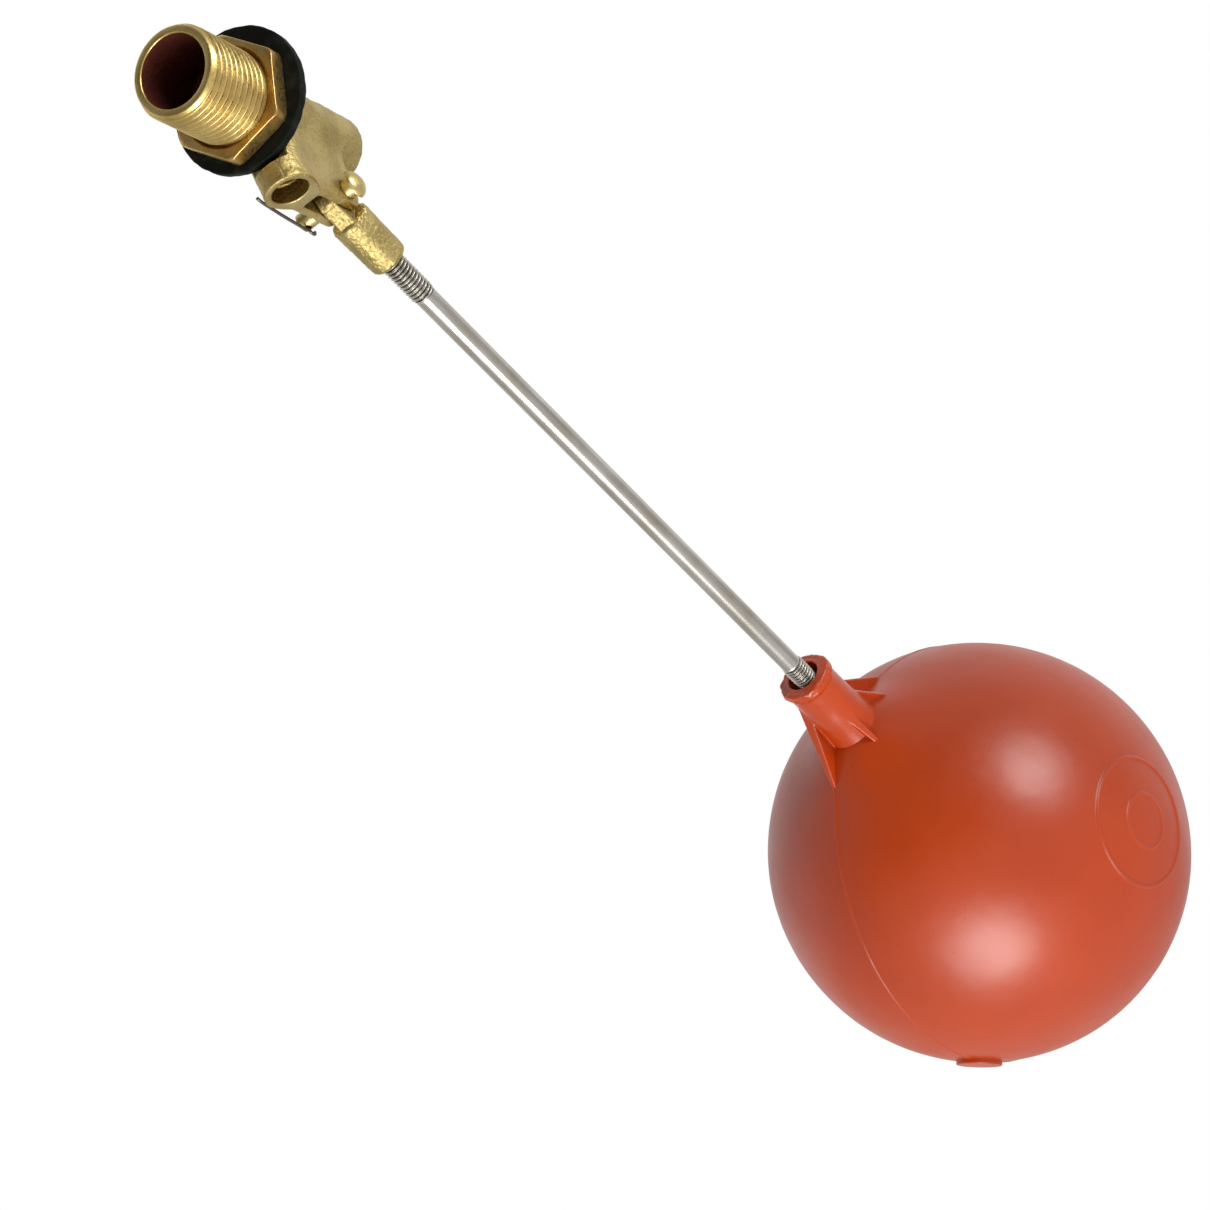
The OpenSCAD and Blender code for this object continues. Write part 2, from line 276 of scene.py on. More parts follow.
def net_quads(inside, index):
    """Quads joining the four cells round every grid edge that the surface crosses."""
    quads = []
    for axis in range(3):
        second, third = (axis + 1) % 3, (axis + 2) % 3
        here = np.moveaxis(inside, (axis, second, third), (0, 1, 2))
        cells = np.moveaxis(index, (axis, second, third), (0, 1, 2))
        crossed = here[:-1, 1:-1, 1:-1] != here[1:, 1:-1, 1:-1]
        i, j, k = np.nonzero(crossed)
        ring = [cells[i, j, k], cells[i, j + 1, k], cells[i, j + 1, k + 1], cells[i, j, k + 1]]
        faces = np.stack(ring, axis=1)
        flip = ~here[i, j + 1, k + 1]
        faces[flip] = faces[flip][:, ::-1]
        quads.append(faces)
    return np.concatenate(quads)


def settle(solid, points, step):
    """Moves the points onto the solid's true surface."""
    h = 0.1 * step
    for _ in range(2):
        value = solid(*points.T)
        slope = np.stack([
            solid(*(points + h * e).T) - solid(*(points - h * e).T) for e in np.eye(3)
        ], axis=1) / (2 * h)
        size = np.maximum((slope ** 2).sum(axis=1), 0.04)
        move = np.clip(value / size, -0.5 * step, 0.5 * step)
        points = points - move[:, None] * slope
    return points


def surface_net(solid, low, high, step):
    """Points and quads of a distance solid's surface inside the box from low to high."""
    low = np.array(low, float) - 2 * step
    counts = np.ceil((np.array(high) + 2 * step - low) / step).astype(int) + 1
    x, y, z = (low[i] + step * np.arange(counts[i]) for i in range(3))
    field = solid(x[:, None, None], y[None, :, None], z[None, None, :])
    field = np.ascontiguousarray(np.broadcast_to(field, counts), dtype=np.float32)
    inside = field < 0
    held = np.zeros(counts - 1, np.int8)
    for c in CORNERS:
        held += inside[c[0]:c[0] + held.shape[0], c[1]:c[1] + held.shape[1], c[2]:c[2] + held.shape[2]]
    mixed = (held > 0) & (held < 8)
    cells = np.argwhere(mixed)
    index = np.full(held.shape, -1, np.int64)
    index[mixed] = np.arange(len(cells))
    points = low + step * net_points(field, cells)
    return settle(solid, points, step), net_quads(inside, index)


# ---------------------------------------------------------------- meshes


def new_piece(name, points_mm, faces, materials, finish=None):
    """A smooth-shaded mesh piece in the CAD frame; finish picks a material index for each face."""
    mesh = bpy.data.meshes.new(name)
    face_list = faces.tolist() if isinstance(faces, np.ndarray) else faces
    mesh.from_pydata((points_mm * MM).tolist(), [], face_list)
    mesh.polygons.foreach_set("use_smooth", [True] * len(mesh.polygons))
    for material in materials:
        mesh.materials.append(material)
    if finish is not None:
        mesh.polygons.foreach_set("material_index", finish.astype(np.int32))
    mesh.update()
    piece = bpy.data.objects.new(name, mesh)
    bpy.context.scene.collection.objects.link(piece)
    return piece


def normals_of(points, quads):
    """Unit normals at the points of a quad mesh."""
    p = points[quads]
    face = np.cross(p[:, 2] - p[:, 0], p[:, 3] - p[:, 1])
    total = np.zeros_like(points)
    for corner in range(quads.shape[1]):
        np.add.at(total, quads[:, corner], face)
    return total / np.maximum(np.linalg.norm(total, axis=1, keepdims=True), 1e-9)


def roughen(points, quads, lumps, mask):
    """Pushes points in and out by random lumps given as (size, height) pairs, where mask is 1."""
    normals = normals_of(points, quads)
    shift = sum(height * grain(points, size, SEED + n) for n, (size, height) in enumerate(lumps))
    return points + normals * (shift * mask)[:, None]


def arm_to_part(points):
    """Arm frame to CAD frame, in millimetres."""
    return PIVOT + points @ ARM_AXES


def ramp(t, low, high):
    """0 below low, 1 above high and smooth between."""
    s = np.clip((t - low) / (high - low), 0.0, 1.0)
    return s * s * (3 - 2 * s)


def face_middles(points, quads):
    """Centre of each face."""
    return points[quads].mean(axis=1)


def ring_grid(radii, stations):
    """Points of a turned surface, ring by ring; radii has a row of radii for each station."""
    turn = np.linspace(0, 2 * math.pi, radii.shape[1], endpoint=False)
    along = np.broadcast_to(np.asarray(stations, float)[:, None], radii.shape)
    return np.stack([radii * np.cos(turn), radii * np.sin(turn), along], axis=2).reshape(-1, 3)


def ring_quads(rows, sides, closed=False):
    """Quads between neighbouring rings of points; closed joins the last ring to the first."""
    i, j = np.meshgrid(np.arange(rows - 1 + closed), np.arange(sides), indexing="ij")
    here, there, beside = i * sides, (i + 1) % rows * sides, (j + 1) % sides
    return np.stack([here + j, here + beside, there + beside, there + j], axis=2).reshape(-1, 4)


def end_fans(rows, sides):
    """Triangles closing a tube on the two points that follow its rings."""
    first, base = rows * sides, (rows - 1) * sides
    start = [((j + 1) % sides, j, first) for j in range(sides)]
    return start + [(base + j, base + (j + 1) % sides, first + 1) for j in range(sides)]


# ---------------------------------------------------------------- materials


def node_tree(name, colour, roughness, metallic):
    """A material with a Principled shader; returns the material, its node tree and the shader."""
    material = bpy.data.materials.new(name)
    material.use_nodes = True
    tree = material.node_tree
    shader = tree.nodes["Principled BSDF"]
    shader.inputs["Base Color"].default_value = (*colour, 1)
    shader.inputs["Roughness"].default_value = roughness
    shader.inputs["Metallic"].default_value = metallic
    material.diffuse_color = (*colour, 1)
    return material, tree, shader


def noise(tree, scale, detail=3.0, stretch=(1, 1, 1)):
    """Noise over the part's own coordinates, about 1/scale metres to a lump."""
    place = tree.nodes.new("ShaderNodeTexCoord")
    mapping = tree.nodes.new("ShaderNodeMapping")
    mapping.inputs["Scale"].default_value = stretch
    texture = tree.nodes.new("ShaderNodeTexNoise")
    texture.inputs["Scale"].default_value = scale
    texture.inputs["Detail"].default_value = detail
    tree.links.new(place.outputs["Object"], mapping.inputs["Vector"])
    tree.links.new(mapping.outputs["Vector"], texture.inputs["Vector"])
    return texture.outputs["Fac"]


def spread(tree, value, low, high, out_low, out_high):
    """Maps a value from one range to another, clamped."""
    node = tree.nodes.new("ShaderNodeMapRange")
    node.inputs["From Min"].default_value = low
    node.inputs["From Max"].default_value = high
    node.inputs["To Min"].default_value = out_low
    node.inputs["To Max"].default_value = out_high
    tree.links.new(value, node.inputs["Value"])
    return node.outputs["Result"]


def blend_colours(tree, factor, first, second):
    """Mixes two colours, each a tuple or a socket, by a factor socket."""
    node = tree.nodes.new("ShaderNodeMix")
    node.data_type = "RGBA"
    tree.links.new(factor, node.inputs["Factor"])
    for socket, colour in ((node.inputs["A"], first), (node.inputs["B"], second)):
        if isinstance(colour, tuple):
            socket.default_value = (*colour, 1)
        else:
            tree.links.new(colour, socket)
    return node.outputs["Result"]


def bump(tree, shader, *layers):
    """Chains bump layers given as (height socket, distance in metres) onto the shader's normal."""
    normal = None
    for height, distance in layers:
        node = tree.nodes.new("ShaderNodeBump")
        node.inputs["Distance"].default_value = distance
        tree.links.new(height, node.inputs["Height"])
        if normal is not None:
            tree.links.new(normal, node.inputs["Normal"])
        normal = node.outputs["Normal"]
    tree.links.new(normal, shader.inputs["Normal"])


def worked_metal(name, light, dark, roughness, grain_mm, bump_mm, metallic=1.0):
    """Metal with tarnish that drifts over the surface and a fine grain."""
    material, tree, shader = node_tree(name, light, roughness, metallic)
    drift = spread(tree, noise(tree, 140, 4), 0.38, 0.66, 0.0, 1.0)
    speckle = noise(tree, 1 / (grain_mm * MM), 4)
    tone = blend_colours(tree, drift, light, dark)
    spots = spread(tree, speckle, 0.58, 0.72, 0.0, 0.55)
    shade = tuple(0.45 * c for c in dark)
    tree.links.new(blend_colours(tree, spots, tone, shade), shader.inputs["Base Color"])
    rough = spread(tree, speckle, 0.3, 0.7, roughness * 0.75, min(1.0, roughness * 1.35))
    tree.links.new(rough, shader.inputs["Roughness"])
    bump(tree, shader, (speckle, bump_mm * MM))
    return material


def drawn_metal(name, colour, roughness, turn, scale, bump_mm):
    """Drawn steel with fine lines along one axis, which is the part's Z turned by turn about Y."""
    material, tree, shader = node_tree(name, colour, roughness, 1.0)
    place = tree.nodes.new("ShaderNodeTexCoord")
    mapping = tree.nodes.new("ShaderNodeMapping")
    mapping.vector_type = "TEXTURE"
    mapping.inputs["Rotation"].default_value = (0.0, turn, 0.0)
    mapping.inputs["Scale"].default_value = (1.0, 1.0, 40.0)
    texture = tree.nodes.new("ShaderNodeTexNoise")
    texture.inputs["Scale"].default_value = scale
    texture.inputs["Detail"].default_value = 4.0
    tree.links.new(place.outputs["Object"], mapping.inputs["Vector"])
    tree.links.new(mapping.outputs["Vector"], texture.inputs["Vector"])
    lines = texture.outputs["Fac"]
    blotch = spread(tree, noise(tree, 90, 3), 0.4, 0.7, 0.0, 0.6)
    shade = tuple(0.72 * c for c in colour)
    warm = (0.62 * colour[0], 0.52 * colour[1], 0.42 * colour[2])
    tone = blend_colours(tree, spread(tree, lines, 0.42, 0.7, 0.0, 1.0), colour, shade)
    tree.links.new(blend_colours(tree, blotch, tone, warm), shader.inputs["Base Color"])
    rough = spread(tree, lines, 0.3, 0.7, roughness * 0.8, roughness * 1.3)
    tree.links.new(rough, shader.inputs["Roughness"])
    bump(tree, shader, (lines, bump_mm * MM))
    return material


def rubber(name, colour):
    """Matt black rubber with a pale dust."""
    material, tree, shader = node_tree(name, colour, 0.62, 0.0)
    shader.inputs["Specular IOR Level"].default_value = 0.10
    dust = spread(tree, noise(tree, 260, 6), 0.5, 0.75, 0.0, 1.0)
    pale = tuple(min(1.0, 2.4 * c + 0.006) for c in colour)
    tree.links.new(blend_colours(tree, dust, colour, pale), shader.inputs["Base Color"])
    fine = noise(tree, 2200, 3)
    tree.links.new(spread(tree, fine, 0.3, 0.7, 0.5, 0.75), shader.inputs["Roughness"])
    bump(tree, shader, (fine, 0.04 * MM))
    return material


def moulded_plastic(name, colour, deep, roughness):
    """Float plastic: faint flow marks, tiny specks and a satin skin."""
    material, tree, shader = node_tree(name, colour, roughness, 0.0)
    shader.inputs["Specular IOR Level"].default_value = 0.56
    shader.inputs["Subsurface Weight"].default_value = 0.03
    shader.inputs["Subsurface Radius"].default_value = (0.004, 0.0012, 0.0006)
    flow = spread(tree, noise(tree, 22, 5), 0.35, 0.68, 0.0, 1.0)
    speck = spread(tree, noise(tree, 900, 2), 0.70, 0.76, 0.0, 0.5)
    tone = blend_colours(tree, flow, colour, deep)
    dark_speck = tuple(0.5 * c for c in deep)
    tree.links.new(blend_colours(tree, speck, tone, dark_speck), shader.inputs["Base Color"])
    skin = noise(tree, 1400, 3)
    satin = spread(tree, noise(tree, 60, 4), 0.3, 0.7, 0.88 * roughness, 1.14 * roughness)
    tree.links.new(satin, shader.inputs["Roughness"])
    bump(tree, shader, (skin, 0.012 * MM), (noise(tree, 160, 3), 0.05 * MM))
    return material


CAST = worked_metal("cast_brass", (0.55, 0.435, 0.18), (0.41, 0.31, 0.115), 0.48, 0.8, 0.20)
THREAD_BRASS = worked_metal("thread_brass", (0.74, 0.55, 0.21), (0.58, 0.40, 0.13), 0.36, 0.6, 0.02)
MACHINED = worked_metal("machined_brass", (0.68, 0.54, 0.25), (0.52, 0.39, 0.15), 0.26, 0.35, 0.012)
NUT_BRASS = worked_metal("nut_brass", (0.72, 0.50, 0.18), (0.50, 0.30, 0.09), 0.34, 0.5, 0.02)
PIN_BRASS = worked_metal("pin_brass", (0.80, 0.66, 0.30), (0.62, 0.48, 0.20), 0.36, 0.45, 0.03)
# Painted shade: near-black brass for the inlet bore, the cylinder and the seat nozzle, standing in for the shade
# deep inside them
SHADED_BORE = worked_metal("bore_brass_painted_shade", (0.12, 0.021, 0.010), (0.085, 0.013, 0.007), 0.6, 0.6, 0.04, 0.5)
OUTLET_BORE = worked_metal("outlet_brass", (0.52, 0.36, 0.11), (0.22, 0.14, 0.04), 0.4, 0.7, 0.16)
THREAD_STEEL = worked_metal("thread_steel", (0.70, 0.68, 0.62), (0.58, 0.55, 0.49), 0.36, 0.5, 0.001)
# Painted shade: dark steel and dark brass for the thread roots of the rod and the shank, so the roots read darker
# than the crests
SHADED_ROOT_STEEL = worked_metal("root_steel_painted_shade", (0.13, 0.12, 0.10), (0.07, 0.06, 0.05), 0.5, 0.5, 0.001)
SHADED_ROOT_BRASS = worked_metal("root_brass_painted_shade", (0.36, 0.235, 0.075), (0.24, 0.145, 0.045), 0.42, 0.6, 0.02)
STEEL = drawn_metal("rod_steel", (0.66, 0.63, 0.58), 0.22, ARM_TURN, 1500, 0.004)
# Painted shade: the split pin's zinc-plated wire is coloured dark grey, as the bright wire looks in its own shadow
SHADED_ZINC = drawn_metal("zinc_steel", (0.20, 0.20, 0.19), 0.34, math.pi / 2, 2500, 0.003)
TANK_RUBBER = rubber("tank_rubber", (0.004, 0.005, 0.003))
SEAT_RUBBER = rubber("seat_rubber", (0.02, 0.02, 0.02))
PLASTIC = moulded_plastic("float_plastic", (0.43, 0.043, 0.002), (0.37, 0.033, 0.0015), 0.35)
NECK_PLASTIC = moulded_plastic("neck_plastic", (0.45, 0.046, 0.003), (0.39, 0.036, 0.002), 0.27)

# ---------------------------------------------------------------- valve body


def body_casting(x, y, z):
    """The casting before machining: flange, cylinder, outlet boss and the web to the fork ears."""
    radial = np.hypot(y, z)
    end = BODY_HIGH[0]
    barrel = drum(radial, x, CYL_R, FLANGE_X, end, 1.0)
    flange = drum(radial, x, FLANGE_R, FLANGE_X, FLANGE_X + FLANGE_T, 0.8)
    boss = drum(np.hypot(x - OUTLET_X, y), z, BOSS_R, MOUTH_Z, 0.0, 0.7)
    ear = np.hypot(x - PIVOT[0], z - PIVOT[2]) - EAR_R
    plate = np.maximum(between(x, OUTLET_X, PIVOT[0]), between(z, MOUTH_Z, 0.0))
    heel = np.maximum(between(x, PIVOT[0] - 1, PIVOT[0] + EAR_R), between(z, PIVOT[2], 0.0))
    outline = np.minimum(np.minimum(ear, plate), heel)
    half = EAR_OUT + EAR_DRAFT * (z - MOUTH_Z)
    web = smooth_max(np.abs(y) - half, outline, 1.0)
    low = smooth_min(boss, web, 2.2)
    relief = drum(radial, x, SEAT_RELIEF_R, NUT_LOW[0], FLANGE_X, 0.1)
    low = cut(low, relief, 0.3)
    return np.minimum(smooth_min(barrel, low, 2.6), smooth_min(barrel, flange, 1.2))


def shank_outline():
    """Stations and radii round the shank's section, and how many of them are on the threaded outside."""
    back = FLANGE_X + 0.6
    outside = np.arange(RIM_CHAMFER, back, SHANK_PITCH / 14)
    corners = [
        (back, SHANK_R - SHANK_DEPTH), (back, CYL_BORE_R),
        (CHAMBER_X, CYL_BORE_R), (CHAMBER_X, PARTITION_R),
        (PARTITION_X, PARTITION_R), (PARTITION_X, POCKET_R),
        (INLET_L, POCKET_R), (INLET_L, INLET_R),
    ]
    inside = [(x, INLET_R) for x in np.linspace(INLET_L - 0.5, 0.6, 12)]
    rim_r = SHANK_R - RIM_CHAMFER
    lip = [(0.25, INLET_R + 0.05), (0.06, INLET_R + 0.2), (0.0, INLET_R + 0.4)]
    rim = [(0.0, INLET_R + 0.9), (0.0, rim_r - 0.25), (0.05, rim_r), (0.25, rim_r + 0.2)]
    rest = np.array(corners + inside + lip + rim)
    stations = np.concatenate([outside, rest[:, 0]])
    radii = np.concatenate([np.full(len(outside), SHANK_R), rest[:, 1]])
    return stations, radii, len(outside)


def build_shank():
    """Turned shank: a threaded outside with a chamfered rim, and the stepped water way inside."""
    stations, base, outside = shank_outline()
    sides = 220
    turn = np.linspace(0, 2 * math.pi, sides, endpoint=False)
    x, angle = np.meshgrid(stations, turn, indexing="ij")
    ridge = 0.5 + 0.5 * thread_wave(x, angle, SHANK_PITCH)
    radii = np.repeat(base[:, None], sides, axis=1)
    threaded = SHANK_R - SHANK_DEPTH * (1 - ridge)
    radii[:outside] = np.minimum(threaded, SHANK_R - RIM_CHAMFER + x)[:outside]
    points = ring_grid(radii, stations)[:, [2, 0, 1]]
    quads = ring_quads(len(stations), sides, closed=True)
    worn = np.repeat(np.arange(len(stations)) < outside, sides) * 1.0
    points = roughen(points, quads, ((2.6, 0.035), (0.8, 0.02)), worn)
    middle_x, y, z = face_middles(points, quads).T
    radial = np.hypot(y, z)
    # Painted shade: faces inside the inlet bore take the near-black shaded bore brass, and faces between the bore
    # and the thread roots, the roots among them, take a darker brass
    finish = np.where((radial < INLET_R + 0.15) & (middle_x > 0.3), 1, 0)
    root = SHANK_R - 0.72 * SHANK_DEPTH
    finish[(radial > INLET_R + 0.5) & (radial < root) & (middle_x > 2 * RIM_CHAMFER)] = 2
    piece = new_piece("inlet_shank", points, quads, [THREAD_BRASS, SHADED_BORE, SHADED_ROOT_BRASS], finish)
    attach(piece, "valve")
    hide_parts("valve_body")


def water_way(solid, x, y, z):
    """Cuts the partition's hole and the cylinder's bore."""
    radial = np.hypot(y, z)
    solid = cut(solid, drum(radial, x, PARTITION_R, PARTITION_X - 1, CHAMBER_X + 1, 0.1))
    return cut(solid, drum(radial, x, CYL_BORE_R, CHAMBER_X, BODY_HIGH[0] + 5, 0.2), 0.4)


def casting_solid(x, y, z):
    """The casting after machining: bores, outlet, fork slot and pin hole."""
    solid = smooth_max(body_casting(x, y, z), MOUTH_Z - z, 0.25)
    solid = water_way(solid, x, y, z)
    mouth = drum(np.hypot(x - OUTLET_X, y), z, OUTLET_R, MOUTH_Z - 5, MOUTH_Z + OUTLET_L, 0.4)
    spout = drum(np.hypot(x - OUTLET_X - SPOUT_SHIFT, y), z, SPOUT_R, MOUTH_Z, 0.0, 0.1)
    solid = cut(cut(solid, mouth, 0.35), spout, 0.3)
    slot = np.maximum(between(x, FORK_SLOT_X, FORK_SLOT_END), between(z, MOUTH_Z - 5, FORK_SLOT_Z))
    solid = cut(solid, smooth_max(np.abs(y) - FORK_SLOT, slot, 0.8), 0.15)
    return cut(solid, np.hypot(x - PIVOT[0], z - PIVOT[2]) - PIN_R - 0.05)


def casting_finish_and_shade(points):
    """0 as cast, 1 machined, 2 inside the cylinder, painted near black as shade, 3 inside the outlet."""
    x, y, z = points.T
    radial = np.hypot(y, z)
    finish = np.zeros(len(points))
    flange_face = (x < FLANGE_X + 0.05) & (radial < FLANGE_R + 0.5)
    finish[(z < MOUTH_Z + 0.06) | (x > BODY_HIGH[0] - 0.1) | flange_face] = 1
    finish[radial < CYL_BORE_R + 0.2] = 2
    outlet = np.hypot(x - OUTLET_X, y) < OUTLET_R + 0.12
    finish[outlet & (z > MOUTH_Z + 0.3) & (radial > CYL_BORE_R)] = 3
    return finish


def build_casting():
    """Everything of the valve body that stands behind the tank washer."""
    low = np.array([FLANGE_X - 2.5, BODY_LOW[1], BODY_LOW[2]])
    points, quads = surface_net(casting_solid, low, BODY_HIGH, 0.2)
    cast = (casting_finish_and_shade(points) == 0) * ramp(points[:, 2], MOUTH_Z + 0.2, MOUTH_Z + 1.2)
    cast = cast * (1 - 0.8 * (np.abs(points[:, 1]) < FORK_SLOT + 0.1))
    finish = casting_finish_and_shade(face_middles(points, quads))
    points = roughen(points, quads, ((3.2, 0.10), (1.2, 0.08), (0.6, 0.055)), cast)
    piece = new_piece("body_casting", points, quads, [CAST, MACHINED, SHADED_BORE, OUTLET_BORE], finish)
    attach(piece, "valve")
    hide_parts("valve_body")


# ---------------------------------------------------------------- nut and washer


def nut_solid(x, y, z):
    """Hexagon with chamfered corners, a threaded bore and a countersunk mouth."""
    radial = np.hypot(y, z)
    flats = [
        np.abs(y * math.cos(NUT_TURN + a) + z * math.sin(NUT_TURN + a)) - NUT_FLAT
        for a in np.radians((0, 60, 120))
    ]
    hexagon = smooth_max(smooth_max(flats[0], flats[1], 0.9), flats[2], 0.9)
    crown = 0.5 * (radial - NUT_FLAT - 0.9) - np.minimum(x - NUT_LOW[0], NUT_HIGH[0] - x)
    body = smooth_max(hexagon, between(x, NUT_LOW[0], NUT_HIGH[0]), 0.25)
    body = smooth_max(body, crown, 0.2)
    bore = thread(radial, np.arctan2(z, y), x, SHANK_R + 0.06, SHANK_DEPTH - 0.1, SHANK_PITCH)
    dish = 0.7 * (radial - SHANK_R - 0.75 + (x - NUT_LOW[0]))
    return cut(cut(body, bore), dish, 0.15)


def build_nut():
    """Backnut, lightly worn all over."""
    points, quads = surface_net(nut_solid, NUT_LOW, NUT_HIGH, 0.16)
    points = roughen(points, quads, ((2.5, 0.03), (0.8, 0.012)), np.ones(len(points)))
    piece = new_piece("hex_backnut", points, quads, [NUT_BRASS])
    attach(piece, "nut")
    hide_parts("backnut")


def washer_solid(x, y, z):
    """Ring with a slightly ragged rim."""
    centre = middle("tank_washer")
    radial = np.hypot(y - centre[1], z - centre[2])
    angle = np.arctan2(z - centre[2], y - centre[1])
    ragged = 0.05 * np.sin(23 * angle) * np.sin(9 * angle + 1) - 0.06
    ring = np.maximum(radial - WASHER_R - ragged, WASHER_HOLE_R - radial)
    return smooth_max(ring, between(x, WASHER_LOW[0], WASHER_HIGH[0]), 0.45)


def build_washer():
    """Tank washer, rougher towards its rim."""
    points, quads = surface_net(washer_solid, WASHER_LOW, WASHER_HIGH, 0.25)
    edge = ramp(np.hypot(points[:, 1], points[:, 2] - 0.8), WASHER_R - 1.5, WASHER_R)
    points = roughen(points, quads, ((1.1, 0.07), (4.0, 0.05)), 0.35 + 0.65 * edge)
    piece = new_piece("rubber_washer", points, quads, [TANK_RUBBER])
    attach(piece, "washer")
    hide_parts("tank_washer")


# ---------------------------------------------------------------- lever


def taper_bar(a, b, tip, r0, r1):
    """Flat outline of a bar from the pivot to tip that narrows from radius r0 to r1."""
    length = math.hypot(*tip)
    along = np.clip((a * tip[0] + b * tip[1]) / length ** 2, 0.0, 1.0)
    return np.hypot(a - along * tip[0], b - along * tip[1]) - (r0 + (r1 - r0) * along)


def lever_solid(u, v, w):
    """Blade with its nose, hub and root, and the drilled socket for the rod."""
    lean = np.array([math.sin(NOSE_LEAN), 0.0, math.cos(NOSE_LEAN)]) * NOSE_L
    nose = (float(lean @ ARM_U), float(lean @ ARM_W))
    blade = smooth_min(np.hypot(u, w) - HUB_R, taper_bar(u, w, nose, NOSE_ROOT_R, NOSE_R), 1.5)
    root = np.maximum(between(w, 0.0, SOCKET_FLOOR), np.abs(u) - HUB_R)
    blade = smooth_max(smooth_min(blade, root, 0.6), np.abs(v) - BLADE_HALF, 0.5)
    radial = np.hypot(u, v)
    socket = drum(radial, w, SOCKET_R - 0.02 * (w - SOCKET_START), SOCKET_START, SOCKET_END, 1.1)
    solid = smooth_min(blade, socket, 0.35)
    solid = cut(solid, np.hypot(u, w) - PIN_R - 0.07)
    bore = drum(radial, w, ROD_THREAD_R + 0.05, SOCKET_FLOOR, SOCKET_END + 5, 0.1)
    mouth = 0.7 * (radial - ROD_THREAD_R - 0.5 + (SOCKET_END - w))
    return cut(cut(solid, bore), mouth, 0.1)


def build_lever():
    """Lever, rough as cast on the socket and on the blade's edges, with pits where the two meet."""
    low = np.array([-NOSE_L - 3, -SOCKET_R, -NOSE_L])
    high = np.array([SOCKET_R, SOCKET_R, SOCKET_END])
    points, quads = surface_net(lever_solid, low, high, 0.15)
    u, v, w = points.T
    radial = np.hypot(u, v)
    on_socket = ramp(w, 3.5, 6.0) * ramp(radial, 3.4, 4.2)
    on_blade = 0.7 * (np.abs(v) < BLADE_HALF - 0.1) * ramp(radial, 3, 4)
    rough = np.maximum(on_socket, on_blade)
    points = roughen(points, quads, ((1.8, 0.06), (0.8, 0.07), (0.45, 0.05)), rough)
    pits = ramp(w, 4.0, 5.3) * (1 - ramp(w, 6.0, 7.5)) * ramp(np.abs(v), 2.3, 3.2)
    points = roughen(points, quads, ((0.7, 0.28),), pits)
    piece = new_piece("lever_casting", arm_to_part(points), quads, [CAST])
    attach(piece, "arm")
    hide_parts("lever")


# ---------------------------------------------------------------- hinge pin and split pin


def pin_solid(x, y, z):
    """Domed head, shank and drilled tail, about the pivot."""
    radial = np.hypot(x, z)
    shank = drum(radial, y, PIN_R, PIN_HEAD_Y, PIN_HIGH[1], 0.5)
    crown = PIN_HEAD_Y - PIN_LOW[1]
    dome_r = (PIN_HEAD_R ** 2 + crown ** 2) / (2 * crown)
    dome = np.sqrt(radial ** 2 + (y - PIN_LOW[1] - dome_r) ** 2) - dome_r
    head = smooth_max(smooth_max(dome, radial - PIN_HEAD_R + 0.15, 0.7), y - PIN_HEAD_Y, 0.35)
    solid = smooth_min(shank, head, 0.3)
    from_hole = x * math.cos(COTTER_TILT) - z * math.sin(COTTER_TILT)
    return cut(solid, np.hypot(y - COTTER_Y, from_hole) - COTTER_HOLE_R, 0.15)


def build_pin():
    """Hinge pin, worn on its domed head."""
    low = PIN_LOW - PIVOT
    high = PIN_HIGH - PIVOT
    low[1], high[1] = PIN_LOW[1], PIN_HIGH[1]
    points, quads = surface_net(pin_solid, low, high, 0.1)
    points = roughen(points, quads, ((1.6, 0.05), (0.6, 0.02)), ramp(-points[:, 1], 5.9, 6.6))
    piece = new_piece("domed_pin", points + np.array([PIVOT[0], 0, PIVOT[2]]), quads, [PIN_BRASS])
    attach(piece, "valve")
    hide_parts("hinge_pin")


def sweep(path, radius, sides):
    """Points and quads of a round wire along a path, closed by a point at each end."""
    path = np.array(path, float)
    tangent = np.gradient(path, axis=0)
    tangent /= np.linalg.norm(tangent, axis=1, keepdims=True)
    side = np.cross(tangent, [0.0, 1.0, 0.0])
    side /= np.linalg.norm(side, axis=1, keepdims=True)
    up = np.cross(side, tangent)
    turn = np.linspace(0, 2 * math.pi, sides, endpoint=False)
    rings = [
        p + radius * (np.cos(turn)[:, None] * s + np.sin(turn)[:, None] * q)
        for p, s, q in zip(path, side, up)
    ]
    ends = [path[:1] - tangent[:1] * 0.3 * radius, path[-1:] + tangent[-1:] * 0.3 * radius]
    points = np.concatenate(rings + ends)
    return points, ring_quads(len(path), sides).tolist() + end_fans(len(path), sides)


def arc(x, z, r, start, end):
    """Points of an arc in the XZ plane, with its angles in degrees from X."""
    turn = np.radians(np.linspace(start, end, 14))
    return [(x + r * math.cos(t), 0.0, z + r * math.sin(t)) for t in turn]


